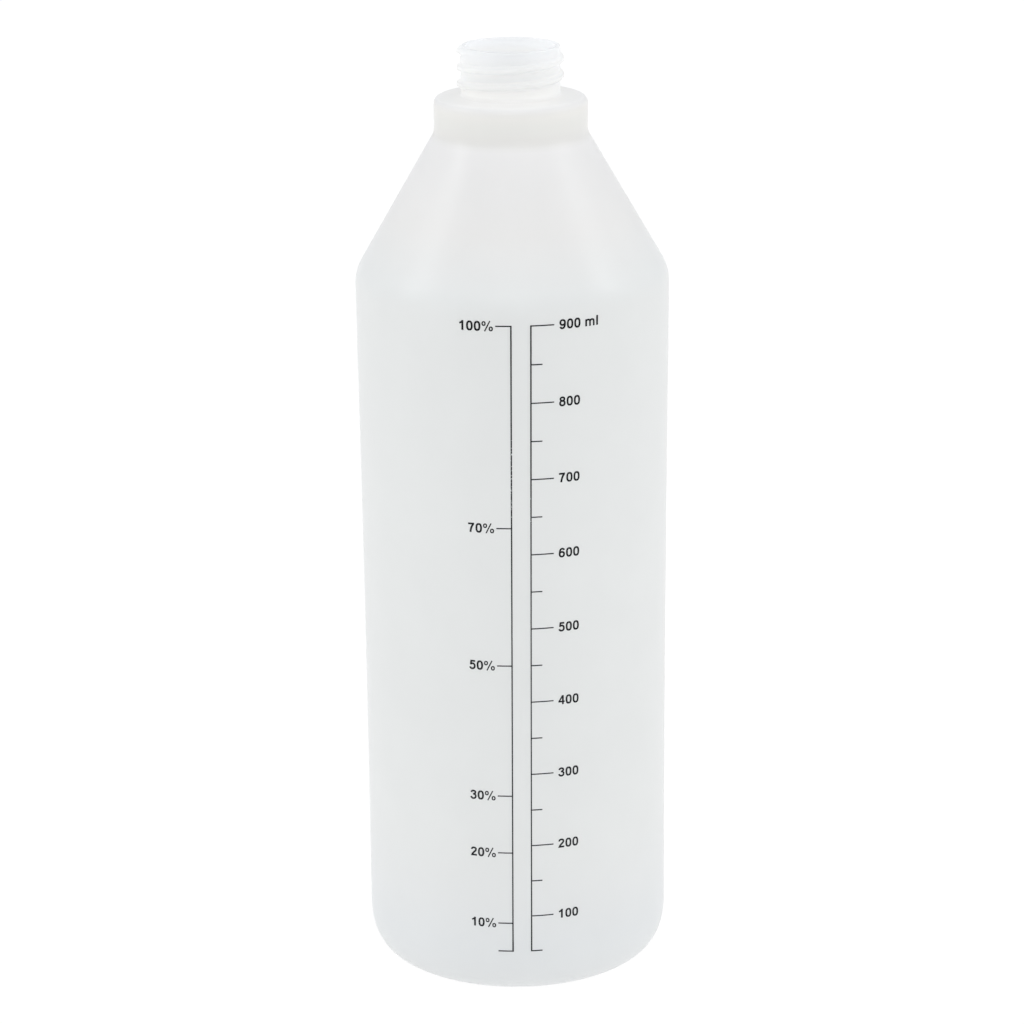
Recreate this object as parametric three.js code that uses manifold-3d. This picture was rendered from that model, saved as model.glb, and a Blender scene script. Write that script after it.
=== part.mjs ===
import * as THREE from "three";
import { mergeVertices } from "three/addons/utils/BufferGeometryUtils.js";
import Module from "manifold-3d";

// A one-litre-class graduated bottle, blow-moulded in one piece from natural polyethylene.
// Millimetres, +Z up. The origin is the middle of the base on the floor, and -Y is the front.

// Side wall: the line of its two ends, the shallow waist between them and its thickness
const baseRadius = 40.4;
const shoulderRadius = 41;
const shoulderHeight = 189.2;
const waistDepth = 0.28;
const bodyWall = 0.8;
const shoulderRounding = 13;

// Foot: the rounding between the standing ring and the side wall, which is taller than it is wide
const footWidth = 6.1;
const footHeight = 10.2;

// Base: a panel pushed up inside the standing ring, crowned in the middle
const ringInnerRadius = 31;
const panelRadius = 28;
const panelHeight = 2.8;
const panelCrown = 2;
const panelRounding = 3;
const baseWall = 1.1;

// Weld across the base where the mould pinched the tube shut, along X
const weldLength = 34;
const weldWidth = 1.4;
const weldHeight = 0.5;

// Cone from the shoulder up to the collar
const coneHeight = 36.6;
const coneRounding = 4;

// Collar: the plain ring under the thread
const collarRadius = 19.8;
const collarHeight = 9;
const collarEdgeRounding = 1.65;
const collarTopRise = 0.5;

// Neck with its flat sealing rim
const neckRadius = 12.8;
const neckHeight = 13.2;
const neckWall = 1.2;
const neckFootRounding = 0.8;
const rimRounding = 0.35;
const smallestRounding = 0.3;

// Thread: one start, right-handed, six turns to the inch. Its crest is flat with eased edges, its foot is sunk
// into the neck, and over the run-outs at both ends it grows out of the neck and gets its full width.
const threadPitch = 25.4 / 6;
const threadTurns = 2.26;
const threadDepth = 0.98;
const threadRootWidth = 2.6;
const threadCrestWidth = 0.9;
const threadCrestEasing = 0.2;
const threadSunk = 0.5;
const threadTopGap = 0.06;
const threadTopAngle = 310;
const threadRunOut = 45;
const threadEndWidth = 0.4;

// How finely the round shapes are divided
const segments = 64;
const panelSteps = 3;
const waistSteps = 5;
const rimSteps = 2;
const weldSteps = 8;
const threadStepsPerTurn = 40;
const innerFineness = 0.5;

// Heights and places that follow from the sizes above
const collarFoot = shoulderHeight + coneHeight;
const collarTop = collarFoot + collarHeight;
const rimHeight = collarTop + neckHeight;
const boreRadius = neckRadius - neckWall;

const polyethylene = new THREE.MeshStandardMaterial({
  name: "natural polyethylene, blow-moulded",
  color: 0xe4e6e6,
  roughness: 0.45,
  metalness: 0,
});

const wasm = await Module();
wasm.setup();

// Points of the curve that leaves `start` towards `corner` and arrives at `end` from it.
// It is a true arc where both legs are as long, and a stretch of an ellipse where they aren't.
function curveRound(start, corner, end, steps) {
  const back = start.clone().sub(corner);
  const ahead = end.clone().sub(corner);
  const weight = Math.sin(back.angleTo(ahead) / 2);
  const points = [];
  for (let i = 0; i <= steps; i++) {
    const t = i / steps;
    const shares = [(1 - t) ** 2, 2 * weight * t * (1 - t), t ** 2];
    const total = shares[0] + shares[1] + shares[2];
    const point = new THREE.Vector2();
    point.addScaledVector(start, shares[0] / total);
    point.addScaledVector(corner, shares[1] / total);
    point.addScaledVector(end, shares[2] / total);
    points.push(point);
  }
  return points;
}

// A corner of an outline. `wall` is the thickness along the stretch that leaves it, `round` the radius
// of its rounding, or the lengths that the rounding takes of the two stretches.
function corner(radius, height, wall, round = 0, steps = 4) {
  return { at: new THREE.Vector2(radius, height), wall, round, steps };
}

function leftOf(from, to) {
  const along = to.clone().sub(from).normalize();
  return new THREE.Vector2(-along.y, along.x);
}

// The same outline on the inner face of the wall: each stretch moves left by its wall, and each rounding
// follows it, smaller on a corner that bulges out and larger in a hollow one.
function insideOf(corners) {
  return corners.map((here, i) => {
    const before = corners[i - 1];
    const after = corners[i + 1];
    if (!before || !after) {
      const side = before ? leftOf(before.at, here.at) : leftOf(here.at, after.at);
      const height = here.at.y + (before ? 0 : here.wall / side.y);
      const radius = before ? here.at.x + side.x * before.wall : here.at.x;
      return { ...here, at: new THREE.Vector2(radius, height) };
    }
    const first = leftOf(before.at, here.at);
    const second = leftOf(here.at, after.at);
    const cross = first.cross(second);
    const moved = here.at.clone();
    if (Math.abs(cross) < 1e-4) {
      moved.addScaledVector(second, here.wall);
    } else {
      moved.x += (before.wall * second.y - here.wall * first.y) / cross;
      moved.y += (here.wall * first.x - before.wall * second.x) / cross;
    }
    const shrink = cross > 0 ? here.wall : -here.wall;
    const round = [here.round].flat().map((size) => (size ? Math.max(size - shrink, smallestRounding) : 0));
    return { ...here, at: moved, round };
  });
}

// Points of an outline with its corners rounded, each in its own number of steps or in a share of it.
function pointsOf(corners, fineness = 1) {
  const points = [];
  corners.forEach((here, i) => {
    const sizes = [here.round].flat();
    if (!sizes[0]) {
      points.push(here.at.clone());
      return;
    }
    const back = corners[i - 1].at.clone().sub(here.at);
    const ahead = corners[i + 1].at.clone().sub(here.at);
    let legs = sizes;
    if (sizes.length < 2) {
      const leg = sizes[0] / Math.tan(back.angleTo(ahead) / 2);
      legs = [leg, leg];
    }
    const start = here.at.clone().addScaledVector(back.normalize(), legs[0]);
    const end = here.at.clone().addScaledVector(ahead.normalize(), legs[1]);
    points.push(...curveRound(start, here.at, end, Math.ceil(here.steps * fineness)));
  });
  return points;
}

// The outer outline from the middle of the base out and up to the edge of the rim.
function outerCorners() {
  const corners = [];
  for (let i = 0; i < panelSteps; i++) {
    const share = i / panelSteps;
    const height = panelHeight + panelCrown * (1 - share ** 2);
    corners.push(corner(panelRadius * share, height, baseWall));
  }
  corners.push(corner(panelRadius, panelHeight, baseWall, panelRounding, 2));
  corners.push(corner(ringInnerRadius, 0, baseWall));
  corners.push(corner(baseRadius, 0, bodyWall, [footWidth, footHeight], 6));
  const waistFoot = footHeight + bodyWall;
  const waistTop = shoulderHeight - shoulderRounding;
  for (let i = 1; i < waistSteps; i++) {
    const share = i / waistSteps;
    const height = waistFoot + (waistTop - waistFoot) * share;
    const line = baseRadius + ((shoulderRadius - baseRadius) * height) / shoulderHeight;
    corners.push(corner(line - waistDepth * 4 * share * (1 - share), height, bodyWall));
  }
  corners.push(corner(shoulderRadius, shoulderHeight, bodyWall, shoulderRounding, 5));
  corners.push(corner(collarRadius, collarFoot, neckWall, coneRounding, 4));
  corners.push(corner(collarRadius, collarTop, neckWall, collarEdgeRounding, 4));
  corners.push(corner(neckRadius, collarTop + collarTopRise, neckWall, neckFootRounding, 3));
  corners.push(corner(neckRadius, rimHeight, neckWall));
  return corners;
}

// A triangle mesh as a solid that can be joined or cut. Points that coincide become one, and triangles
// that shrink to a line at the axis go.
function solidOf(geometry) {
  const plain = new THREE.BufferGeometry();
  plain.setAttribute("position", geometry.getAttribute("position"));
  plain.setIndex(geometry.getIndex());
  const merged = mergeVertices(plain, 1e-4);
  const index = merged.getIndex().array;
  const kept = [];
  for (let i = 0; i < index.length; i += 3) {
    const [a, b, c] = [index[i], index[i + 1], index[i + 2]];
    if (a !== b && b !== c && c !== a) {
      kept.push(a, b, c);
    }
  }
  const solid = new wasm.Manifold(
    new wasm.Mesh({
      numProp: 3,
      vertProperties: new Float32Array(merged.getAttribute("position").array),
      triVerts: new Uint32Array(kept),
    }),
  );
  return solid;
}

function geometryOf(solid) {
  const mesh = solid.getMesh();
  const geometry = new THREE.BufferGeometry();
  geometry.setAttribute("position", new THREE.BufferAttribute(mesh.vertProperties, 3));
  geometry.setIndex(new THREE.BufferAttribute(mesh.triVerts, 1));
  geometry.computeVertexNormals();
  return geometry;
}

// The hollow shell: the outer and the inner outline joined over the rim and revolved.
function shell() {
  const outer = outerCorners();
  const inner = insideOf(outer);
  const outside = pointsOf(outer);
  const inside = pointsOf(inner, innerFineness);
  outside.pop();
  inside.pop();
  const outerEdge = new THREE.Vector2(neckRadius, rimHeight);
  const rimStart = new THREE.Vector2(neckRadius, rimHeight - rimRounding);
  const rimFlat = new THREE.Vector2(neckRadius - rimRounding, rimHeight);
  const rim = [
    ...curveRound(rimStart, outerEdge, rimFlat, rimSteps),
    new THREE.Vector2(boreRadius + rimRounding, rimHeight),
    new THREE.Vector2(boreRadius, rimHeight - rimRounding),
  ];
  const outline = [...outside, ...rim, ...inside.reverse()];
  return new THREE.LatheGeometry(outline, segments).rotateX(Math.PI / 2);
}

// A point on a level circle about the axis, its angle in degrees from the front towards +X.
function around(radius, angle, height) {
  const turn = THREE.MathUtils.degToRad(angle);
  return [radius * Math.sin(turn), -radius * Math.cos(turn), height];
}

// The thread: one section swept along its helix, growing out of the neck at both ends.
function thread() {
  const turned = threadTurns * 360;
  const steps = Math.round(threadTurns * threadStepsPerTurn);
  const fullHeight = rimHeight - threadTopGap - threadRootWidth / 2;
  const shoulder = threadDepth - threadCrestEasing;
  const flat = threadCrestWidth / 2 - threadCrestEasing;
  const section = [
    [-threadSunk, -threadRootWidth / 2],
    [shoulder, -threadCrestWidth / 2],
    [threadDepth, -flat],
    [threadDepth, flat],
    [shoulder, threadCrestWidth / 2],
    [-threadSunk, threadRootWidth / 2],
  ];
  const position = [];
  const index = [];
  for (let i = 0; i <= steps; i++) {
    const below = (turned * i) / steps;
    const height = fullHeight + (threadPitch * (threadRunOut - below)) / 360;
    const toEnd = Math.min(below, turned - below) / threadRunOut;
    const grown = THREE.MathUtils.smoothstep(toEnd, 0, 1);
    const width = THREE.MathUtils.lerp(threadEndWidth, 1, grown);
    for (const [out, up] of section) {
      const raised = out < 0 ? out : THREE.MathUtils.lerp(-threadSunk / 2, out, grown);
      position.push(...around(neckRadius + raised, threadTopAngle - below, height + up * width));
    }
  }
  const count = section.length;
  for (let i = 0; i < steps; i++) {
    for (let k = 0; k < count; k++) {
      const a = i * count + k;
      const b = i * count + ((k + 1) % count);
      index.push(a, b, b + count, a, b + count, a + count);
    }
  }
  const last = steps * count;
  for (let k = 1; k < count - 1; k++) {
    index.push(0, k + 1, k, last, last + k, last + k + 1);
  }
  const geometry = new THREE.BufferGeometry();
  geometry.setAttribute("position", new THREE.Float32BufferAttribute(position, 3));
  geometry.setIndex(index);
  return geometry;
}

// The pinch-off weld: a low rib under the panel that follows its crown.
function weld() {
  const crownAt = (x) => panelHeight + panelCrown * (1 - (x / panelRadius) ** 2);
  const outline = new THREE.Shape();
  outline.moveTo(-weldLength / 2, crownAt(weldLength / 2) + baseWall / 2);
  for (let i = 0; i <= weldSteps; i++) {
    const x = weldLength * (i / weldSteps - 0.5);
    outline.lineTo(x, crownAt(x) - weldHeight);
  }
  outline.lineTo(weldLength / 2, crownAt(weldLength / 2) + baseWall / 2);
  const rib = new THREE.ExtrudeGeometry(outline, { depth: weldWidth, bevelEnabled: false });
  return rib.translate(0, 0, -weldWidth / 2).rotateX(Math.PI / 2);
}

function bottle() {
  const body = solidOf(shell()).add(solidOf(thread())).add(solidOf(weld()));
  const mesh = new THREE.Mesh(geometryOf(body), polyethylene);
  mesh.name = "bottle";
  return mesh;
}

const group = new THREE.Group();
group.add(bottle());

export default group;
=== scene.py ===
import math

import bmesh
import bpy
from mathutils import Matrix, Vector
from mathutils.geometry import delaunay_2d_cdt


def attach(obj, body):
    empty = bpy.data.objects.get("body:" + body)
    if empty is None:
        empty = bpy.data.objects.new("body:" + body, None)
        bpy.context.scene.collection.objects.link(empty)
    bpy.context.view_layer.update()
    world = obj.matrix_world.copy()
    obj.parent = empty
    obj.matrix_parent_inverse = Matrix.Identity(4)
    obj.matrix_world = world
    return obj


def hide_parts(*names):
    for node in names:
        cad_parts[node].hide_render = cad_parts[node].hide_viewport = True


# A graduated bottle of natural polyethylene, blow-moulded in one piece, with its scale printed on the wall.
# Sizes are in millimetres and become metres where a mesh is made. -Y is the front.
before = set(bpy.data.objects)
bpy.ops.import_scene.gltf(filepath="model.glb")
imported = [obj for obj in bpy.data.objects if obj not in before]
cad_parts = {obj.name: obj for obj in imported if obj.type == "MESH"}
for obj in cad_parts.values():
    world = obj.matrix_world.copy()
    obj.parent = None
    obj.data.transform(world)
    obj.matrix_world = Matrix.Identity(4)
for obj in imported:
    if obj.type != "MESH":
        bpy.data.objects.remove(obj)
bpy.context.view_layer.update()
mm = 0.001


def linear(hexColor):
    parts = [int(hexColor[i : i + 2], 16) / 255 for i in (1, 3, 5)]
    curved = [c / 12.92 if c <= 0.04045 else ((c + 0.055) / 1.055) ** 2.4 for c in parts]
    return (*curved, 1.0)


def addNode(tree, kind, settings=None, inputs=None, links=None):
    made = tree.nodes.new(kind)
    for key, value in (settings or {}).items():
        setattr(made, key, value)
    for key, value in (inputs or {}).items():
        made.inputs[key].default_value = value
    for key, source in (links or {}).items():
        tree.links.new(source, made.inputs[key])
    return made


def addPiece(name, vertices, faces, rounded=False):
    mesh = bpy.data.meshes.new(name)
    mesh.from_pydata(vertices, [], faces)
    mesh.polygons.foreach_set("use_smooth", [rounded] * len(mesh.polygons))
    mesh.update()
    made = bpy.data.objects.new(name, mesh)
    bpy.context.collection.objects.link(made)
    return made


# Camera: the photograph's, a long lens that looks down on the bottle a little and is turned by half a degree
cameraView = {
    "distance": 851.3,
    "height": 390.1,
    "lookDown": 17.448,
    "turn": -0.042,
    "roll": 0.53,
    "focalPixels": 3336.3,
    "frameSide": 1024,
    "filmWidth": 36,
    "nearest": 0.05,  # of what the camera sees, in metres
    "farthest": 30,
}


def makeCamera(view):
    data = bpy.data.cameras.new("photoCamera")
    data.sensor_width = view["filmWidth"]
    data.lens = view["focalPixels"] / view["frameSide"] * data.sensor_width
    data.clip_start = view["nearest"]
    data.clip_end = view["farthest"]
    camera = bpy.data.objects.new("photoCamera", data)
    bpy.context.collection.objects.link(camera)
    place = Matrix.Translation(Vector((0, -view["distance"], view["height"])) * mm)
    sideways = Matrix.Rotation(math.radians(-view["turn"]), 4, "Z")
    downwards = Matrix.Rotation(math.radians(90 - view["lookDown"]), 4, "X")
    tilted = Matrix.Rotation(math.radians(-view["roll"]), 4, "Z")
    camera.matrix_world = place @ sideways @ downwards @ tilted
    bpy.context.scene.camera = camera


makeCamera(cameraView)
print("camera done")

# Bottle: the same outline as the solid, drawn finer
bottleShape = {
    "baseRadius": 40.4,
    "shoulderRadius": 41,
    "shoulderHeight": 189.2,
    "waistDepth": 0.28,
    "bodyWall": 0.8,
    "shoulderRounding": 13,
    "footRounding": (6.1, 10.2),  # wide and high
    "ringInnerRadius": 31,
    "ringRounding": 0.5,
    "panelRadius": 28,
    "panelHeight": 2.8,
    "panelCrown": 2,
    "panelRounding": 3,
    "baseWall": 1.1,
    "coneHeight": 36.6,
    "coneRounding": 4,
    "collarRadius": 19.8,
    "collarHeight": 9,
    "collarRounding": 1.65,
    "collarTopRise": 0.5,
    "neckRadius": 12.8,
    "neckHeight": 13.2,
    "neckWall": 1.2,
    "neckFootRounding": 0.8,
    "rimRounding": 0.35,  # of the rim's outer edge
    "boreRounding": 0.245,  # of its inner edge
    "tightestRounding": 0.3,  # of the inside, where the outer rounding is less than the wall
}
# How finely the outline and the turn round the axis are drawn
bottleMesh = {
    "columns": 220,
    "rowStep": 3.0,
    "neckRowStep": 0.16,
    "neckRowsFrom": 0.9,  # above the collar
    "crownSteps": 8,  # across half the base panel
    "bodySteps": 16,  # up the side wall
    "axisGap": 1e-6,  # a point nearer than this is on the axis
    "straightTurn": 1e-4,  # a corner that turns less than this is straight
    "roundingSteps": {
        "panel": 6,
        "ring": 4,
        "foot": 16,
        "shoulder": 14,
        "cone": 10,
        "collar": 10,
        "neckFoot": 6,
        "rim": 5,
        "bore": 4,
    },
}
threadShape = {
    "pitch": 25.4 / 6,
    "turns": 2.26,
    "depth": 0.98,
    "rootWidth": 2.6,
    "crestWidth": 0.7,
    "topGap": 0.06,
    "topAngle": 310,  # where its upper end is, in degrees from the front towards +X
    "runOut": 45,  # degrees over which each end grows out of the neck
    "endWidth": 0.4,  # as a share of the full width
    "clearOfCollar": 1.2,  # it keeps at least this far above the collar
}
# The mould's parting line, up both sides
seamShape = {
    "height": 0.07,
    "width": 0.35,
    "sides": (90, 270),
    "columnsBeside": (-0.25, -0.12, 0.12, 0.25),  # degrees from each side where it gets columns of its own
    "lowest": 0.5,
    "neckShare": 0.3,  # it gets lower with the radius, and would be this share of its height on the axis
}

shoulderLine = bottleShape["shoulderHeight"]
collarFoot = shoulderLine + bottleShape["coneHeight"]
collarTop = collarFoot + bottleShape["collarHeight"]
rimHeight = collarTop + bottleShape["neckHeight"]
straightFrom = bottleShape["footRounding"][1] + bottleShape["bodyWall"]
straightTo = shoulderLine - bottleShape["shoulderRounding"]


def wallRadius(height):
    shape = bottleShape
    line = shape["baseRadius"] + (shape["shoulderRadius"] - shape["baseRadius"]) * height / shoulderLine
    share = (height - straightFrom) / (straightTo - straightFrom)
    share = min(max(share, 0), 1)
    return line - shape["waistDepth"] * 4 * share * (1 - share)


def panelHeightAt(radius):
    shape = bottleShape
    return shape["panelHeight"] + shape["panelCrown"] * (1 - (radius / shape["panelRadius"]) ** 2)


def curveRound(start, corner, end, steps):
    back = (start - corner).normalized()
    ahead = (end - corner).normalized()
    weight = math.sin(back.angle(ahead) / 2)
    points = []
    for i in range(steps + 1):
        t = i / steps
        shares = ((1 - t) ** 2, 2 * weight * t * (1 - t), t**2)
        points.append((start * shares[0] + corner * shares[1] + end * shares[2]) / sum(shares))
    return points


def corner(radius, height, wall, rounding=(), steps=1):
    legs = rounding if isinstance(rounding, (tuple, list)) else (rounding,)
    return {"at": Vector((radius, height)), "wall": wall, "round": legs, "steps": steps}


def roundedCorner(part, radius, height, wall):
    return corner(radius, height, wall, bottleShape[part + "Rounding"], bottleMesh["roundingSteps"][part])


def leftOf(start, end):
    along = (end - start).normalized()
    return Vector((-along.y, along.x))


def outerCorners(shape):
    base = shape["baseWall"]
    body = shape["bodyWall"]
    neck = shape["neckWall"]
    corners = []
    for i in range(bottleMesh["crownSteps"]):
        radius = shape["panelRadius"] * i / bottleMesh["crownSteps"]
        corners.append(corner(radius, panelHeightAt(radius), base))
    corners.append(roundedCorner("panel", shape["panelRadius"], shape["panelHeight"], base))
    corners.append(roundedCorner("ring", shape["ringInnerRadius"], 0, base))
    corners.append(roundedCorner("foot", shape["baseRadius"], 0, body))
    for i in range(1, bottleMesh["bodySteps"]):
        height = straightFrom + (straightTo - straightFrom) * i / bottleMesh["bodySteps"]
        corners.append(corner(wallRadius(height), height, body))
    corners.append(roundedCorner("shoulder", shape["shoulderRadius"], shoulderLine, body))
    corners.append(roundedCorner("cone", shape["collarRadius"], collarFoot, neck))
    corners.append(roundedCorner("collar", shape["collarRadius"], collarTop, neck))
    corners.append(roundedCorner("neckFoot", shape["neckRadius"], collarTop + shape["collarTopRise"], neck))
    corners.append(corner(shape["neckRadius"], rimHeight, neck))
    return corners


def insideOf(corners):
    inside = []
    for i, here in enumerate(corners):
        before = corners[i - 1] if i else None
        after = corners[i + 1] if i + 1 < len(corners) else None
        at = here["at"].copy()
        legs = ()
        if before is None:
            at.y += here["wall"] / leftOf(at, after["at"]).y
        elif after is None:
            at.x += leftOf(before["at"], at).x * before["wall"]
        else:
            first = leftOf(before["at"], at)
            second = leftOf(at, after["at"])
            turn = first.x * second.y - first.y * second.x
            if abs(turn) < bottleMesh["straightTurn"]:
                at += second * here["wall"]
            else:
                at.x += (before["wall"] * second.y - here["wall"] * first.y) / turn
                at.y += (here["wall"] * first.x - before["wall"] * second.x) / turn
            shrink = here["wall"] if turn > 0 else -here["wall"]
            legs = [max(size - shrink, bottleShape["tightestRounding"]) for size in here["round"]]
        inside.append({**here, "at": at, "round": legs})
    return inside


def pointsOf(corners):
    points = []
    for i, here in enumerate(corners):
        legs = here["round"]
        if not legs:
            points.append(here["at"])
            continue
        back = corners[i - 1]["at"] - here["at"]
        ahead = corners[i + 1]["at"] - here["at"]
        if len(legs) < 2:
            leg = legs[0] / math.tan(back.angle(ahead) / 2)
            legs = (leg, leg)
        start = here["at"] + back.normalized() * legs[0]
        end = here["at"] + ahead.normalized() * legs[1]
        points.extend(curveRound(start, here["at"], end, here["steps"]))
    return points


def resampled(points, step, lowest=None):
    made = [points[0]]
    for a, b in zip(points, points[1:]):
        size = step if lowest is None or min(a.y, b.y) < lowest else bottleMesh["neckRowStep"]
        count = max(1, math.ceil((b - a).length / size))
        made.extend(a.lerp(b, k / count) for k in range(1, count + 1))
    return made


def smooth(t):
    t = min(max(t, 0), 1)
    return t * t * (3 - 2 * t)


def threadRise(angle, height):
    shape = threadShape
    rise = 0
    laps = math.ceil(shape["turns"])
    for lap in range(-laps, laps + 1):
        below = shape["topAngle"] - angle + 360 * lap
        toEnd = min(below, shape["turns"] * 360 - below)
        if toEnd <= 0:
            continue
        grown = smooth(toEnd / shape["runOut"])
        width = shape["endWidth"] + (1 - shape["endWidth"]) * grown
        full = rimHeight - shape["topGap"] - shape["rootWidth"] / 2
        middle = full + shape["pitch"] * (shape["runOut"] - below) / 360
        halfRoot = shape["rootWidth"] / 2 * width
        halfCrest = shape["crestWidth"] / 2 * width
        flank = (halfRoot - abs(height - middle)) / (halfRoot - halfCrest)
        rise = max(rise, shape["depth"] * grown * smooth(flank))
    return rise


def seamRise(angle, radius):
    shape = seamShape
    fromSeam = min(abs(angle - side) for side in shape["sides"])
    away = math.radians(fromSeam) * bottleShape["shoulderRadius"]
    share = min(1, radius / bottleShape["shoulderRadius"] + shape["neckShare"])
    return shape["height"] * share * smooth(1 - away / (shape["width"] / 2))


def columnAngles():
    count = bottleMesh["columns"]
    angles = {round(360 * k / count, 4) for k in range(count)}
    for side in seamShape["sides"]:
        for step in seamShape["columnsBeside"]:
            angles.add(side + step)
    return sorted(angles)


def revolve(name, outside, rim, inside):
    angles = columnAngles()
    outline = outside + rim + inside
    vertices = []
    rows = []
    for i, point in enumerate(outline):
        if point.x < bottleMesh["axisGap"]:
            rows.append([len(vertices)] * len(angles))
            vertices.append((0, 0, point.y * mm))
            continue
        rows.append(range(len(vertices), len(vertices) + len(angles)))
        isOutside = i < len(outside)
        for angle in angles:
            radius = point.x
            if isOutside and point.y > seamShape["lowest"]:
                radius += seamRise(angle, point.x)
            if isOutside and point.y > collarTop + threadShape["clearOfCollar"]:
                radius += threadRise(angle, point.y)
            turn = math.radians(angle)
            vertices.append((radius * math.sin(turn) * mm, -radius * math.cos(turn) * mm, point.y * mm))
    faces = []
    for low, high in zip(rows, rows[1:]):
        for j in range(len(angles)):
            k = (j + 1) % len(angles)
            face = [low[j], low[k], high[k], high[j]]
            if low[j] == low[k]:
                face = [low[j], high[k], high[j]]
            elif high[j] == high[k]:
                face = [low[j], low[k], high[j]]
            faces.append(face)
    return addPiece(name, vertices, faces, rounded=True)


def makeBottle():
    shape = bottleShape
    step = bottleMesh["rowStep"]
    steps = bottleMesh["roundingSteps"]
    outer = outerCorners(shape)
    neckEnd = Vector((shape["neckRadius"], rimHeight - shape["rimRounding"]))
    outside = resampled(pointsOf(outer)[:-1] + [neckEnd], step, collarTop + bottleMesh["neckRowsFrom"])
    inside = resampled(list(reversed(pointsOf(insideOf(outer))[:-1])), step)
    outerEdge = Vector((shape["neckRadius"], rimHeight))
    innerEdge = Vector((shape["neckRadius"] - shape["neckWall"], rimHeight))
    rimStart = outerEdge - Vector((shape["rimRounding"], 0))
    rimEnd = innerEdge + Vector((shape["boreRounding"], 0))
    boreStart = innerEdge - Vector((0, shape["boreRounding"]))
    rim = curveRound(neckEnd, outerEdge, rimStart, steps["rim"])[1:]
    rim += curveRound(rimEnd, innerEdge, boreStart, steps["bore"])
    return revolve("bottleBody", outside, rim, inside)


bottle = makeBottle()
print("bottle done:", len(bottle.data.polygons), "faces")

# The weld under the base, where the mould pinched the tube shut: a low rib that follows the panel's crown
weldShape = {
    "length": 34,
    "width": 1.4,
    "height": 0.5,
    "sunk": 0.4,
    "edgeSunk": 0.05,
    "taper": 2.5,
    "tipShare": 0.15,  # of the full width and height, at both ends
    "steps": 40,
    "sides": 10,
}


def makeWeld(shape):
    half = shape["length"] / 2
    edge = shape["edgeSunk"]
    vertices = []
    for i in range(shape["steps"] + 1):
        x = half * (2 * i / shape["steps"] - 1)
        size = max(shape["tipShare"], smooth((half - abs(x)) / shape["taper"]))
        across = shape["width"] / 2 * size
        crown = panelHeightAt(x)
        for k in range(shape["sides"] + 1):
            turn = math.pi * k / shape["sides"]
            low = crown + edge - (shape["height"] + edge) * size * math.sin(turn)
            vertices.append((x * mm, -across * math.cos(turn) * mm, low * mm))
        vertices.append((x * mm, across * mm, (crown + shape["sunk"]) * mm))
        vertices.append((x * mm, -across * mm, (crown + shape["sunk"]) * mm))
    ring = shape["sides"] + 3
    faces = [tuple(range(ring))]
    for i in range(shape["steps"]):
        for k in range(ring):
            a = i * ring + k
            b = i * ring + (k + 1) % ring
            faces.append((a, a + ring, b + ring, b))
    last = ring * shape["steps"]
    faces.append(tuple(reversed(range(last, last + ring))))
    return addPiece("baseWeld", vertices, faces, rounded=True)


weld = makeWeld(weldShape)
print("weld done")

# Print: laid out flat, with x along the wall from the front and z up, then wrapped round the wall
printShape = {
    "stepMillilitres": 50,
    "stepHeight": 10.07,
    "lowestMark": 12.9,  # height of the mark for one step
    "fullMillilitres": 900,
    "millilitreLine": 4.04,
    "percentLine": -0.91,
    "longTick": 5.74,
    "shortTick": 2.76,
    "percentTick": 3.72,
    "lineWidth": 0.37,
    "tickWidth": 0.31,
    "rightThinning": 0.16,  # of the lines where the wall is a little hollow and takes less ink
    "leftThinning": 0.12,
    "thinnestAt": 75,
    "thinReach": 70,
    "footWidening": 0.03,  # of the left line, near its lower end
    "footReach": 7,
    "inkThickness": 0.02,
    "inkSunk": 0.01,
    "lean": 0.00554,  # the print leans to the right as it goes up
    "leanFrom": 100.7,
    "textEm": 3.52,
    "penWidth": 1.05,
    "numbersFrom": 11.13,
    "percentTo": -5.22,
    "lineSteps": 60,
    "barColumns": 7,
}
percentMarks = {"100%": 900, "70%": 635.5, "50%": 450, "30%": 270, "20%": 190, "10%": 90}
hundredMarks = {**{str(ml): ml for ml in range(100, 900, 100)}, "900 ml": 900}


def markHeight(millilitres):
    steps = millilitres / printShape["stepMillilitres"] - 1
    return printShape["lowestMark"] + printShape["stepHeight"] * steps


def wrapped(flat):
    height = flat.z
    radius = wallRadius(height)
    turn = (flat.x + printShape["lean"] * (height - printShape["leanFrom"])) / bottleShape["baseRadius"]
    out = radius + flat.y
    return Vector((out * math.sin(turn), -out * math.cos(turn), height)) * mm


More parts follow.
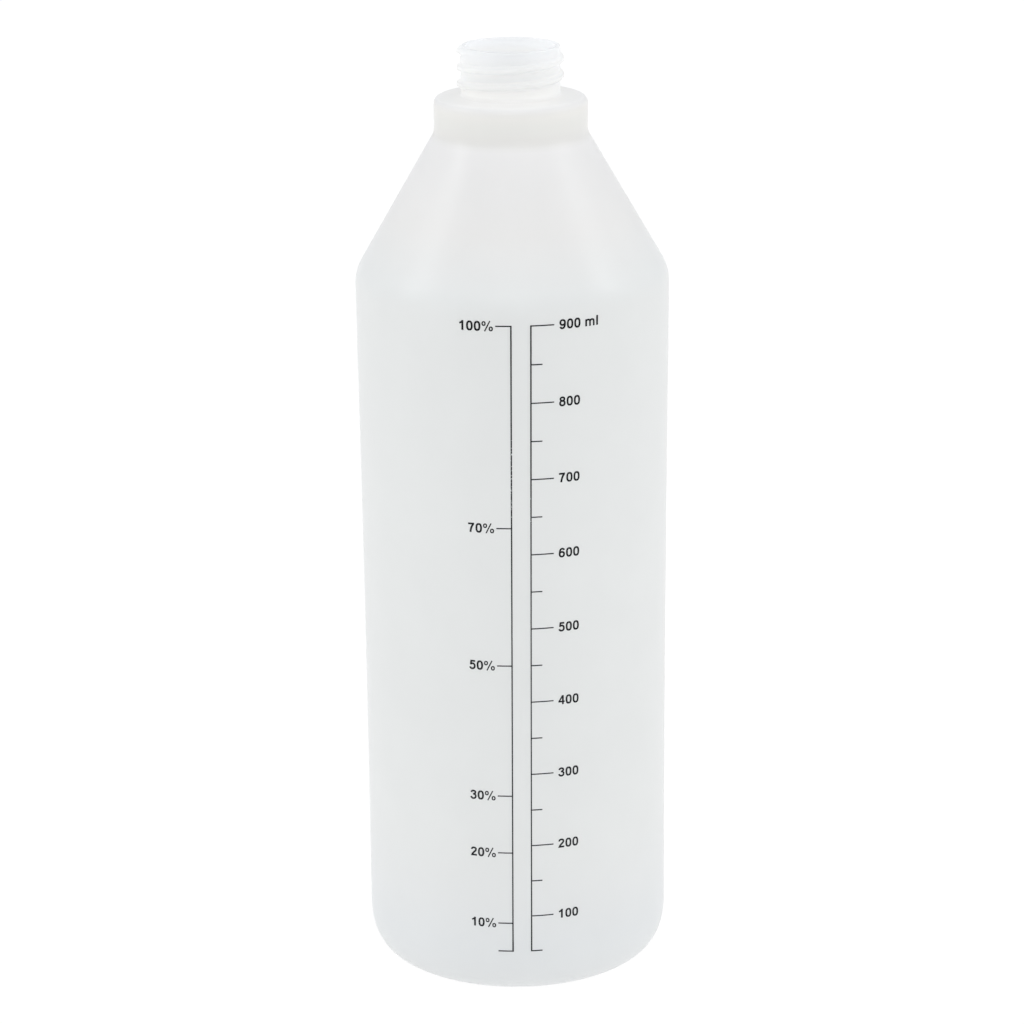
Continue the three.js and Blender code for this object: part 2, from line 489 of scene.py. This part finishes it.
def barTree(name):
    tree = bpy.data.node_groups.new(name, "GeometryNodeTree")
    sockets = {}
    for label, kind in (
        ("Marks", "NodeSocketGeometry"),
        ("Length", "NodeSocketFloat"),
        ("Line width", "NodeSocketFloat"),
        ("Ink thickness", "NodeSocketFloat"),
        ("Ink", "NodeSocketMaterial"),
    ):
        sockets[label] = tree.interface.new_socket(label, in_out="INPUT", socket_type=kind).identifier
    tree.interface.new_socket("Print", in_out="OUTPUT", socket_type="NodeSocketGeometry")
    given = addNode(tree, "NodeGroupInput").outputs
    size = addNode(
        tree,
        "ShaderNodeCombineXYZ",
        links={"X": given["Length"], "Y": given["Ink thickness"], "Z": given["Line width"]},
    )
    bar = addNode(
        tree,
        "GeometryNodeMeshCube",
        inputs={"Vertices X": printShape["barColumns"], "Vertices Y": 2, "Vertices Z": 2},
        links={"Size": size.outputs[0]},
    )
    halfLength = addNode(
        tree, "ShaderNodeMath", {"operation": "MULTIPLY"}, {1: 0.5}, {0: given["Length"]}
    )
    offset = addNode(tree, "ShaderNodeCombineXYZ", links={"X": halfLength.outputs[0]})
    placed = addNode(
        tree,
        "GeometryNodeTransform",
        links={"Geometry": bar.outputs["Mesh"], "Translation": offset.outputs[0]},
    )
    copies = addNode(
        tree,
        "GeometryNodeInstanceOnPoints",
        links={"Points": given["Marks"], "Instance": placed.outputs[0]},
    )
    real = addNode(tree, "GeometryNodeRealizeInstances", links={"Geometry": copies.outputs[0]})
    inked = addNode(
        tree,
        "GeometryNodeSetMaterial",
        links={"Geometry": real.outputs[0], "Material": given["Ink"]},
    )
    addNode(tree, "NodeGroupOutput", links={"Print": inked.outputs[0]})
    return tree, sockets


def printedBars(name, tree, sockets, marks, length, ink):
    shape = printShape
    holder = addPiece(name, marks, [])
    modifier = holder.modifiers.new("bars", "NODES")
    modifier.node_group = tree
    modifier[sockets["Length"]] = float(length)
    modifier[sockets["Line width"]] = shape["tickWidth"]
    modifier[sockets["Ink thickness"]] = shape["inkThickness"] + shape["inkSunk"]
    modifier[sockets["Ink"]] = ink
    shown = holder.evaluated_get(bpy.context.evaluated_depsgraph_get())
    plain = bpy.data.meshes.new_from_object(shown)
    holder.modifiers.remove(modifier)
    holder.data = plain
    shift = (shape["inkThickness"] - shape["inkSunk"]) / 2
    for vertex in plain.vertices:
        vertex.co = wrapped(vertex.co + Vector((0, shift, 0)))
    plain.update()
    return holder


# Digits and letters as pen strokes, in thousandths of the type size: a width, and a path of lines and curves
penStrokes = {
    "0": [
        (132, [(278, 652), (150, 652, 107, 545, 107, 352), (107, 160, 150, 52, 278, 52)]),
        (132, [(278, 652), (406, 652, 449, 545, 449, 352), (449, 160, 406, 52, 278, 52)]),
    ],
    "1": [(140, [(318, 0), (318, 716)]), (122, [(352, 690), (300, 600, 205, 540, 92, 508)])],
    "2": [
        (130, [(106, 505), (116, 612, 180, 653, 272, 653), (372, 653, 438, 603, 438, 515)]),
        (130, [(438, 515), (438, 375, 215, 290, 128, 64), (508, 64)]),
    ],
    "3": [
        (130, [(108, 522), (122, 612, 188, 653, 268, 653), (362, 653, 422, 605, 422, 535),
               (422, 455, 355, 396, 236, 396)]),
        (130, [(236, 396), (372, 396, 448, 335, 448, 222), (448, 118, 370, 52, 266, 52),
               (170, 52, 108, 108, 96, 204)]),
    ],
    "4": [
        (132, [(382, 0), (382, 716)]),
        (112, [(352, 680), (86, 222)]),
        (122, [(38, 222), (520, 222)]),
    ],
    "5": [
        (128, [(478, 648), (178, 648), (142, 352)]),
        (130, [(128, 386), (180, 432, 225, 450, 282, 450), (384, 450, 446, 370, 446, 246),
               (446, 130, 368, 52, 264, 52), (174, 52, 112, 102, 98, 192)]),
    ],
    "6": [
        (130, [(280, 412), (180, 412, 110, 340, 110, 235), (110, 130, 180, 52, 282, 52)]),
        (130, [(280, 412), (384, 412, 448, 340, 448, 235), (448, 130, 384, 52, 282, 52)]),
        (130, [(110, 240), (100, 500, 160, 653, 298, 653), (378, 653, 424, 615, 442, 540)]),
    ],
    "7": [(130, [(40, 648), (490, 648)]), (136, [(446, 640), (330, 520, 232, 280, 216, 0)])],
    "8": [
        (128, [(278, 655), (190, 655, 132, 605, 132, 530), (132, 455, 190, 400, 278, 400)]),
        (128, [(278, 655), (366, 655, 424, 605, 424, 530), (424, 455, 366, 400, 278, 400)]),
        (132, [(278, 390), (176, 390, 106, 320, 106, 222), (106, 118, 178, 50, 278, 50)]),
        (132, [(278, 390), (380, 390, 450, 320, 450, 222), (450, 118, 378, 50, 278, 50)]),
    ],
    "%": [
        (88, [(190, 672), (120, 672, 88, 620, 88, 542), (88, 464, 120, 412, 190, 412)]),
        (88, [(190, 672), (260, 672, 292, 620, 292, 542), (292, 464, 260, 412, 190, 412)]),
        (88, [(698, 290), (628, 290, 596, 238, 596, 160), (596, 82, 628, 30, 698, 30)]),
        (88, [(698, 290), (768, 290, 800, 238, 800, 160), (800, 82, 768, 30, 698, 30)]),
        (84, [(258, -25), (632, 738)]),
    ],
    "m": [
        (132, [(135, 0), (135, 519)]),
        (124, [(135, 340), (150, 430, 210, 470, 290, 470), (390, 470, 445, 430, 445, 300), (445, 0)]),
        (124, [(445, 340), (460, 430, 520, 470, 600, 470), (700, 470, 752, 430, 752, 300), (752, 0)]),
    ],
    "l": [(136, [(139, 0), (139, 716)])],
}
advances = {"%": 889, "m": 889, "l": 278, " ": 278}
digitAdvance = 556
capHeight = 716
nineHeight = 704  # a 9 is the 6 turned half round in a box of this height
curveSteps = 8
sharpestTurn = 0.4  # keeps the pen's edge from running out at a sharp turn


def penPath(path):
    points = [Vector(path[0])]
    for step in path[1:]:
        if len(step) == 2:
            points.append(Vector(step))
            continue
        a = points[-1]
        b, c, d = (Vector(step[i : i + 2]) for i in (0, 2, 4))
        for i in range(1, curveSteps + 1):
            t = i / curveSteps
            points.append(a * (1 - t) ** 3 + b * 3 * t * (1 - t) ** 2 + c * 3 * t**2 * (1 - t) + d * t**3)
    return points


def penBand(points, width):
    left = []
    right = []
    for i, here in enumerate(points):
        back = (here - points[i - 1]).normalized() if i else (points[1] - here).normalized()
        ahead = (points[i + 1] - here).normalized() if i + 1 < len(points) else back
        normal = Vector((-back.y - ahead.y, back.x + ahead.x)).normalized()
        reach = width / 2 / max(normal.dot(Vector((-back.y, back.x))), sharpestTurn)
        left.append(here + normal * reach)
        right.append(here - normal * reach)
    return right + left[::-1]


def bandsOf(sign):
    if sign == "9":
        return [[Vector((digitAdvance, nineHeight)) - point for point in band] for band in bandsOf("6")]
    return [penBand(penPath(path), width * printShape["penWidth"]) for width, path in penStrokes[sign]]


def labelWidth(text):
    return sum(advances.get(sign, digitAdvance) for sign in text) * printShape["textEm"] / 1000


def labelFlat(text, left, middle):
    scale = printShape["textEm"] / 1000
    insideOnly = 1  # of the triangulation's kinds of output
    nearEnough = 0.01
    corners = []
    faces = []
    along = 0
    for sign in text:
        if sign != " ":
            rims = []
            flat = []
            for band in bandsOf(sign):
                rims.append(list(range(len(flat), len(flat) + len(band))))
                flat.extend(band)
            points, _, found, _, _, sources = delaunay_2d_cdt(flat, [], rims, insideOnly, nearEnough)
            first = len(corners)
            for point in points:
                across = left + (along + point.x) * scale
                up = middle + (point.y - capHeight / 2) * scale
                corners.append(Vector((across, up)))
            faces.extend([first + v for v in face] for face, source in zip(found, sources) if source)
        along += advances.get(sign, digitAdvance)
    return corners, faces


def printedLabels(name, labels, ink):
    shape = bmesh.new()
    for text, left, middle in labels:
        corners, faces = labelFlat(text, left, middle)
        top = [shape.verts.new(wrapped(Vector((p.x, printShape["inkThickness"], p.y)))) for p in corners]
        under = [shape.verts.new(wrapped(Vector((p.x, -printShape["inkSunk"], p.y)))) for p in corners]
        edges = {}
        for face in faces:
            shape.faces.new([top[v] for v in face])
            shape.faces.new([under[v] for v in reversed(face)])
            for a, b in zip(face, face[1:] + face[:1]):
                edges[(a, b)] = edges.get((a, b), 0) + 1
        for a, b in edges:
            if (b, a) not in edges:
                shape.faces.new([top[b], top[a], under[a], under[b]])
    loose = [v for v in shape.verts if not v.link_faces]
    bmesh.ops.delete(shape, geom=loose, context="VERTS")
    bmesh.ops.recalc_face_normals(shape, faces=shape.faces)
    mesh = bpy.data.meshes.new(name)
    shape.to_mesh(mesh)
    shape.free()
    mesh.materials.append(ink)
    made = bpy.data.objects.new(name, mesh)
    bpy.context.collection.objects.link(made)
    return made


def printedLine(name, thinning, widening, ink):
    shape = printShape
    at = shape[name]
    low = markHeight(shape["stepMillilitres"]) - shape["tickWidth"] / 2
    high = markHeight(shape["fullMillilitres"]) + shape["tickWidth"] / 2
    steps = shape["lineSteps"]
    vertices = []
    for i in range(steps + 1):
        height = low + (high - low) * i / steps
        away = (height - shape["thinnestAt"]) / shape["thinReach"]
        half = shape["lineWidth"] / 2 * (1 - thinning * max(0, 1 - away**2))
        right = half + widening * smooth(1 - (height - low) / shape["footReach"])
        vertices.append(wrapped(Vector((at - half, -shape["inkSunk"], height))))
        vertices.append(wrapped(Vector((at + right, -shape["inkSunk"], height))))
        vertices.append(wrapped(Vector((at + right, shape["inkThickness"], height))))
        vertices.append(wrapped(Vector((at - half, shape["inkThickness"], height))))
    faces = [(3, 2, 1, 0)]
    for i in range(steps):
        for k in range(4):
            a = i * 4 + k
            b = i * 4 + (k + 1) % 4
            faces.append((a, b, b + 4, a + 4))
    last = steps * 4
    faces.append((last, last + 1, last + 2, last + 3))
    made = addPiece(name, vertices, faces)
    made.data.materials.append(ink)
    return made


def makePrint(ink):
    shape = printShape
    step = shape["stepMillilitres"]
    # Half a line at its thinnest, so the ticks reach it all the way up
    half = shape["lineWidth"] / 2 * (1 - shape["rightThinning"])
    tree, sockets = barTree("printedBars")
    right = shape["millilitreLine"] + half
    left = shape["percentLine"] - half - shape["percentTick"]
    longMarks = [(right, 0, markHeight(ml)) for ml in hundredMarks.values()]
    shortMarks = [(right, 0, markHeight(ml)) for ml in range(step, shape["fullMillilitres"], 2 * step)]
    percents = [(left, 0, markHeight(ml)) for ml in (*percentMarks.values(), step)]
    pieces = [
        printedBars("hundredMarks", tree, sockets, longMarks, shape["longTick"], ink),
        printedBars("fiftyMarks", tree, sockets, shortMarks, shape["shortTick"], ink),
        printedBars("percentMarks", tree, sockets, percents, shape["percentTick"], ink),
    ]
    pieces.append(printedLine("millilitreLine", shape["rightThinning"], 0, ink))
    pieces.append(printedLine("percentLine", shape["leftThinning"], shape["footWidening"], ink))
    numbers = [(text, shape["numbersFrom"], markHeight(ml)) for text, ml in hundredMarks.items()]
    percentNumbers = []
    for text, ml in percentMarks.items():
        percentNumbers.append((text, shape["percentTo"] - labelWidth(text), markHeight(ml)))
    pieces.append(printedLabels("millilitreNumbers", numbers, ink))
    pieces.append(printedLabels("percentNumbers", percentNumbers, ink))
    return pieces


# Screen-printing ink: black and dry, thinner low down, and flaked off in places where the bottle is gripped
inkFinish = {
    "ink": "#131316",
    "thinInk": "#28282b",
    "thinnestAt": 75,  # the height where the ink's film is at its thinnest, and how far above it is full
    "thinReach": 110,
    "bare": "#dfe1e2",  # the plastic that shows where the ink is gone
    "roughness": 0.5,
    "ior": 1.48,
    "shine": 0.15,
    "fleck": 0.4,
    "fleckDetail": 2.0,
    "fleckRoughness": 0.6,
    "fleckContrast": 14.0,
    "soundLevel": 0.72,  # the noise above which the ink is gone, where it is sound and where it is worn
    "wornLevel": 0.57,
    "leftWorn": (133, 153),  # heights between which the left line is flaked
    "rightWorn": (132, 140),
    "wornEdge": 4,  # how gradually the flaking begins and ends
    "linesPart": 1.6,  # the two lines are left and right of this x
}


def wornShare(tree, height, low, high, soft):
    rise = {1: (low - soft) * mm, 2: (low + soft) * mm, 3: 0.0, 4: 1.0}
    fall = {1: (high - soft) * mm, 2: (high + soft) * mm, 3: 1.0, 4: 0.0}
    above = addNode(tree, "ShaderNodeMapRange", None, rise, {0: height})
    below = addNode(tree, "ShaderNodeMapRange", None, fall, {0: height})
    both = {0: above.outputs[0], 1: below.outputs[0]}
    return addNode(tree, "ShaderNodeMath", {"operation": "MULTIPLY"}, None, both).outputs[0]


def makeInk(finish):
    made = bpy.data.materials.new("blackScreenInk")
    made.use_nodes = True
    tree = made.node_tree
    shader = tree.nodes["Principled BSDF"]
    shader.inputs["Roughness"].default_value = finish["roughness"]
    shader.inputs["IOR"].default_value = finish["ior"]
    shader.inputs["Specular IOR Level"].default_value = finish["shine"]
    place = addNode(tree, "ShaderNodeTexCoord").outputs["Object"]
    split = addNode(tree, "ShaderNodeSeparateXYZ", links={0: place})
    height = split.outputs["Z"]
    fleck = addNode(
        tree,
        "ShaderNodeTexNoise",
        None,
        {
            "Scale": 1 / (finish["fleck"] * mm),
            "Detail": finish["fleckDetail"],
            "Roughness": finish["fleckRoughness"],
        },
        {"Vector": place},
    )
    onRight = addNode(
        tree,
        "ShaderNodeMath",
        {"operation": "GREATER_THAN"},
        {1: finish["linesPart"] * mm},
        {0: split.outputs["X"]},
    )
    leftWorn = wornShare(tree, height, *finish["leftWorn"], finish["wornEdge"])
    rightWorn = wornShare(tree, height, *finish["rightWorn"], finish["wornEdge"])
    worn = addNode(tree, "ShaderNodeMix", None, None, {0: onRight.outputs[0], 2: leftWorn, 3: rightWorn})
    level = addNode(
        tree,
        "ShaderNodeMapRange",
        None,
        {1: 0.0, 2: 1.0, 3: finish["soundLevel"], 4: finish["wornLevel"]},
        {0: worn.outputs[0]},
    )
    bareness = addNode(
        tree,
        "ShaderNodeMath",
        {"operation": "SUBTRACT"},
        None,
        {0: fleck.outputs[0], 1: level.outputs[0]},
    )
    mask = addNode(
        tree,
        "ShaderNodeMath",
        {"operation": "MULTIPLY", "use_clamp": True},
        {1: finish["fleckContrast"]},
        {0: bareness.outputs[0]},
    )
    full = finish["thinnestAt"] + finish["thinReach"]
    film = addNode(
        tree,
        "ShaderNodeMapRange",
        None,
        {1: finish["thinnestAt"] * mm, 2: full * mm},
        {0: height},
    )
    inkColour = addNode(
        tree,
        "ShaderNodeMix",
        {"data_type": "RGBA"},
        {6: linear(finish["thinInk"]), 7: linear(finish["ink"])},
        {0: film.outputs[0]},
    )
    colour = addNode(
        tree,
        "ShaderNodeMix",
        {"data_type": "RGBA"},
        {7: linear(finish["bare"])},
        {0: mask.outputs[0], 6: inkColour.outputs[2]},
    )
    tree.links.new(colour.outputs[2], shader.inputs["Base Color"])
    return made


# Natural polyethylene, blow-moulded: milky and satin, creamier at the thick collar (partly the plastic's own
# tint, partly painted light passing through it), clearer at the neck. Its colours by height also hold painted
# shade and painted light, marked below.
plasticFinishAndPaintedLight = {
    "wall": {  # the colour at each height, from the base up; it holds painted shade and painted light, marked below
        # the foot, a little darker than the wall above: painted shade
        0: "#e5e7e7",
        14: "#e5e7e7",
        26: "#e7e8e7",
        40: "#e8e9e7",
        190: "#e7e8e6",
        205: "#e9e7e4",  # the cone, which warms towards the collar
        222: "#e9e7e5",
        224: "#eae8e6",
        225.4: "#e5e3df",  # the collar: creamier, partly the thick plastic's own tint and partly painted light passing through it, and painted darker low down: painted shade
        226: "#e1dfdb",
        230: "#e3e2dd",
        232.5: "#e7e5e0",
        233.1: "#e9e7e3",
        # painted shade that dims the highlight on the collar's rounded top edge
        234.3: "#e2e0dd",
        234.8: "#e5e4e3",
        236: "#fffdf9",  # the neck, painted lighter to make up for the light that goes through it: painted light
        242: "#fff9ed",
        244.5: "#fcf8f0",
        # the top of the neck and the rim, painted darker: painted shade that dims the light on the rim
        246.6: "#efeeea",
        247.7: "#dcdbd7",
    },
    "thread": {0: "#e8e5dd"},  # the same at every height, darker than the neck: painted shade that evens out the light on the thread's upward faces
    # the inside of the neck, darker than the outside and darkest at the mouth: painted shade
    "bore": {0: "#e8eaeb", 241: "#e8eaeb", 245: "#dcddde", 248: "#c8c9ca"},
    "neckFrom": 235.4,  # heights between which the wall gets as clear as the neck
    "neckFull": 238.5,
    "wallEdge": 0.2,  # from each face of the neck's wall to where the two colours start to mix
    "threadEdge": 0.1,  # the same, from the thread's foot and crest
    "cloudSize": 18,  # of the faint clouds that the wall gets as it is blown
    "cloudRange": {1: 0.3, 2: 0.7},  # the noise's usual lowest and highest value
    "cloudDepth": 0.02,
    "cloudDetail": 2.0,
    "ior": 1.52,  # usual for polyethylene
    "shine": 0.28,
    "roughness": 0.33,  # satin
    "roughnessSpread": 0.04,
    "wallClearness": 0.25,
    "neckClearness": 0.94,
    "wallReach": 9,  # how far light spreads in the plastic
    "neckReach": 30,
    "grain": 0.5,  # of the mould's blasted face, drawn coarser than it is so that it shows
    "grainDetail": 2.0,
    "grainStrength": 0.05,
    "grainDepth": 0.05,
}


def colourByHeight(tree, height, colours):
    share = addNode(tree, "ShaderNodeMath", {"operation": "DIVIDE"}, {1: rimHeight * mm}, {0: height})
    ramp = addNode(tree, "ShaderNodeValToRGB", links={0: share.outputs[0]})
    stops = ramp.color_ramp.elements
    stops.remove(stops[1])
    for place, colour in colours.items():
        stop = stops[0] if place == 0 else stops.new(place / rimHeight)
        stop.color = linear(colour)
    return ramp.outputs[0]


def neckShares(tree, place, height, finish):
    flat = addNode(tree, "ShaderNodeVectorMath", {"operation": "MULTIPLY"}, {1: (1, 1, 0)}, {0: place})
    length = addNode(tree, "ShaderNodeVectorMath", {"operation": "LENGTH"}, None, {0: flat.outputs[0]})
    radius = length.outputs["Value"]
    outer = bottleShape["neckRadius"]
    inner = outer - bottleShape["neckWall"]
    crest = outer + threadShape["depth"]
    wallEdge = finish["wallEdge"]
    threadEdge = finish["threadEdge"]
    ends = {1: finish["neckFrom"] * mm, 2: finish["neckFull"] * mm, 3: 0.0, 4: 1.0}
    high = addNode(tree, "ShaderNodeMapRange", None, ends, {0: height}).outputs[0]
    ends = {1: (inner + wallEdge) * mm, 2: (outer - wallEdge) * mm, 4: 0.0}
    inBore = addNode(tree, "ShaderNodeMapRange", None, ends, {0: radius, 3: high})
    ends = {1: (outer + threadEdge) * mm, 2: (crest - threadEdge) * mm, 3: 0.0}
    onThread = addNode(tree, "ShaderNodeMapRange", None, ends, {0: radius, 4: high})
    return high, inBore.outputs[0], onThread.outputs[0]


def makePlastic(finish):
    made = bpy.data.materials.new("blowMouldedPolyethylene")
    made.use_nodes = True
    tree = made.node_tree
    shader = tree.nodes["Principled BSDF"]
    shader.inputs["IOR"].default_value = finish["ior"]
    shader.inputs["Specular IOR Level"].default_value = finish["shine"]
    shader.inputs["Subsurface Radius"].default_value = (1.0, 1.0, 1.0)
    place = addNode(tree, "ShaderNodeTexCoord").outputs["Object"]
    height = addNode(tree, "ShaderNodeSeparateXYZ", links={0: place}).outputs["Z"]
    onNeck, inBore, onThread = neckShares(tree, place, height, finish)
    # the colour ramps by height, which carry the painted shade and painted light of the plastic
    wall, thread, bore = [colourByHeight(tree, height, finish[name]) for name in ("wall", "thread", "bore")]
    mixed = {"data_type": "RGBA"}
    outside = addNode(tree, "ShaderNodeMix", mixed, None, {0: onThread, 6: wall, 7: thread}).outputs[2]
    colour = addNode(tree, "ShaderNodeMix", mixed, None, {0: inBore, 6: outside, 7: bore}).outputs[2]
    cloud = addNode(
        tree,
        "ShaderNodeTexNoise",
        None,
        {"Scale": 1 / (finish["cloudSize"] * mm), "Detail": finish["cloudDetail"]},
        {"Vector": place},
    ).outputs[0]
    cloudy = addNode(
        tree,
        "ShaderNodeMapRange",
        None,
        {**finish["cloudRange"], 3: 1 - finish["cloudDepth"], 4: 1.0},
        {0: cloud},
    ).outputs[0]
    uneven = addNode(tree, "ShaderNodeVectorMath", {"operation": "SCALE"}, None, {0: colour, "Scale": cloudy})
    tree.links.new(uneven.outputs[0], shader.inputs["Base Color"])
    clearness = addNode(
        tree,
        "ShaderNodeMapRange",
        None,
        {3: finish["wallClearness"], 4: finish["neckClearness"]},
        {0: onNeck},
    )
    tree.links.new(clearness.outputs[0], shader.inputs["Subsurface Weight"])
    reach = addNode(
        tree,
        "ShaderNodeMapRange",
        None,
        {3: finish["wallReach"] * mm, 4: finish["neckReach"] * mm},
        {0: onNeck},
    )
    tree.links.new(reach.outputs[0], shader.inputs["Subsurface Scale"])
    smoothest = finish["roughness"] - finish["roughnessSpread"]
    roughest = finish["roughness"] + finish["roughnessSpread"]
    satin = addNode(
        tree,
        "ShaderNodeMapRange",
        None,
        {**finish["cloudRange"], 3: smoothest, 4: roughest},
        {0: cloud},
    )
    tree.links.new(satin.outputs[0], shader.inputs["Roughness"])
    grain = addNode(
        tree,
        "ShaderNodeTexNoise",
        None,
        {"Scale": 1 / (finish["grain"] * mm), "Detail": finish["grainDetail"]},
        {"Vector": place},
    )
    bump = addNode(
        tree,
        "ShaderNodeBump",
        None,
        {"Strength": finish["grainStrength"], "Distance": finish["grainDepth"] * mm},
        {"Height": grain.outputs[0]},
    )
    tree.links.new(bump.outputs[0], shader.inputs["Normal"])
    return made


plastic = makePlastic(plasticFinishAndPaintedLight)
for piece in (bottle, weld):
    piece.data.materials.append(plastic)
print("plastic done")

prints = makePrint(makeInk(inkFinish))
print("print done:", len(prints), "pieces")

# Studio: a white table that glows a little, a sky that brightens upwards, and soft boxes on three sides
studio = {
    "sky": "#f8fbff",
    "skyLow": 0.7,
    "skyHigh": 1.2,
    "tableReach": 6,  # this and the places and sizes of the boxes are in metres
    "tableColour": "#616161",
    "tableGlow": 0.9,
    "boxPower": 3.0,
    "boxSize": (0.3, 0.8),
    "boxDistance": 1.3,
    "boxForward": 0.2,
    "boxHeight": 0.95,
    "fillPower": 3.0,
    "fillSize": (1.2, 1.2),
    "fillPlace": (0, -1.6, 1.0),
    "aim": (0, 0, 0.15),
}
# What the translucent wall lets in and the few traced bounces lose: power, height and radius of each glow
innerGlows = {
    "neckGlow": (0.0035, 228, 8),
    "bodyGlow": (0.007, 130, 28),
    "baseGlow": (0.006, 45, 20),
}


def makeSky(values):
    world = bpy.data.worlds.new("whiteSky")
    world.use_nodes = True
    tree = world.node_tree
    background = tree.nodes["Background"]
    background.inputs["Color"].default_value = linear(values["sky"])
    direction = addNode(tree, "ShaderNodeTexCoord").outputs["Generated"]
    split = addNode(tree, "ShaderNodeSeparateXYZ", links={0: direction})
    strength = addNode(
        tree,
        "ShaderNodeMapRange",
        None,
        {1: 0.0, 2: 1.0, 3: values["skyLow"], 4: values["skyHigh"]},
        {0: split.outputs["Z"]},
    )
    tree.links.new(strength.outputs[0], background.inputs["Strength"])
    bpy.context.scene.world = world


def makeTable(values):
    reach = values["tableReach"]
    corners = [(-reach, -reach, 0), (reach, -reach, 0), (reach, reach, 0), (-reach, reach, 0)]
    table = addPiece("whiteTable", corners, [(0, 1, 2, 3)])
    material = bpy.data.materials.new("whiteTable")
    material.use_nodes = True
    shader = material.node_tree.nodes["Principled BSDF"]
    shader.inputs["Base Color"].default_value = linear(values["tableColour"])
    shader.inputs["Roughness"].default_value = 1.0
    shader.inputs["Specular IOR Level"].default_value = 0.0
    shader.inputs["Emission Color"].default_value = (1, 1, 1, 1)
    shader.inputs["Emission Strength"].default_value = values["tableGlow"]
    table.data.materials.append(material)


def makeSoftBox(name, place, size, power, aim):
    data = bpy.data.lights.new(name, "AREA")
    data.energy = power
    data.shape = "RECTANGLE"
    data.size, data.size_y = size
    light = bpy.data.objects.new(name, data)
    bpy.context.collection.objects.link(light)
    light.location = place
    towards = Vector(aim) - light.location
    light.rotation_euler = towards.to_track_quat("-Z", "Y").to_euler()


def makeGlow(name, power, height, radius):
    data = bpy.data.lights.new(name, "POINT")
    data.energy = power
    data.shadow_soft_size = radius * mm
    light = bpy.data.objects.new(name, data)
    bpy.context.collection.objects.link(light)
    light.location = (0, 0, height * mm)
    light.visible_camera = False


def makeStudio(values, glows):
    bpy.context.scene.view_settings.view_transform = "Standard"
    makeSky(values)
    makeTable(values)
    for side in (-1, 1):
        place = (side * values["boxDistance"], -values["boxForward"], values["boxHeight"])
        makeSoftBox("softBox", place, values["boxSize"], values["boxPower"], values["aim"])
    makeSoftBox("fillBox", values["fillPlace"], values["fillSize"], values["fillPower"], values["aim"])
    for name, (power, height, radius) in glows.items():
        makeGlow(name, power, height, radius)


makeStudio(studio, innerGlows)
print("studio done")

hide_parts("bottle")
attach(bottle, "root")
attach(weld, "root")
for piece in prints:
    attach(piece, "root")

print("scene done")
